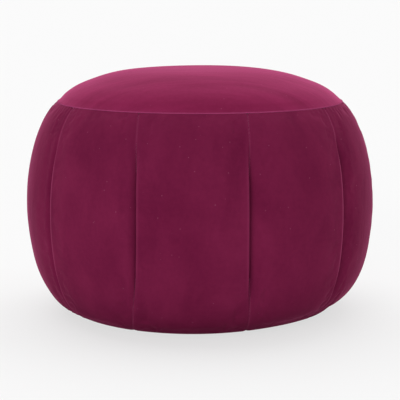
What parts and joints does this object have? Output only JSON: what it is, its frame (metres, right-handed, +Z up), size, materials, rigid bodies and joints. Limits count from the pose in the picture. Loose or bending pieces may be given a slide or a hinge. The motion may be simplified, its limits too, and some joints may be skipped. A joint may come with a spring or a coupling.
{
  "type": "tuffet",
  "caption": "Round pleated velvet tuffet with a domed padded seat and a barrel side, built on a plywood drum that stands on low glides.",
  "frame": {"origin": "on the floor, under the centre of the seat", "axes": "+Z up through the middle of the seat, -Y the side that the picture shows"},
  "size_m": [0.6072, 0.61, 0.43],
  "materials": {
    "velvet": "deep berry cotton velvet, short brushed pile",
    "fibre_wadding": "lofty white polyester fibre",
    "foam": "cut upholstery foam, open cells",
    "plywood": "raw birch plywood",
    "softwood": "planed pine",
    "fibreboard": "smooth brown hardboard",
    "screw_steel": "yellow zinc plate",
    "staple_steel": "galvanised wire",
    "dust_cloth": "black spun-bonded cloth",
    "glide_nylon": "moulded black nylon"
  },
  "bodies": {
    "root": {"side_panel_01": "velvet", "side_panel_02": "velvet", "side_panel_03": "velvet", "side_panel_04": "velvet", "side_panel_05": "velvet", "side_panel_06": "velvet", "side_panel_07": "velvet", "side_panel_08": "velvet", "side_panel_09": "velvet", "side_panel_10": "velvet", "top_panel": "velvet", "seam_piping": "velvet", "channel_pad_01": "fibre_wadding", "channel_pad_02": "fibre_wadding", "channel_pad_03": "fibre_wadding", "channel_pad_04": "fibre_wadding", "channel_pad_05": "fibre_wadding", "channel_pad_06": "fibre_wadding", "channel_pad_07": "fibre_wadding", "channel_pad_08": "fibre_wadding", "channel_pad_09": "fibre_wadding", "channel_pad_10": "fibre_wadding", "top_wadding": "fibre_wadding", "side_foam": "foam", "seat_foam": "foam", "base_board": "plywood", "seat_board": "plywood", "post_1": "softwood", "post_2": "softwood", "post_3": "softwood", "post_4": "softwood", "post_5": "softwood", "post_6": "softwood", "post_7": "softwood", "post_8": "softwood", "frame_liner": "fibreboard", "base_board_screws": "screw_steel", "seat_board_screws": "screw_steel", "glide_screws": "screw_steel", "liner_staples": "staple_steel", "cover_staples": "staple_steel", "dust_cover_staples": "staple_steel", "dust_cover": "dust_cloth", "glide_1": "glide_nylon", "glide_2": "glide_nylon", "glide_3": "glide_nylon", "glide_4": "glide_nylon"}
  },
  "joints": []
}
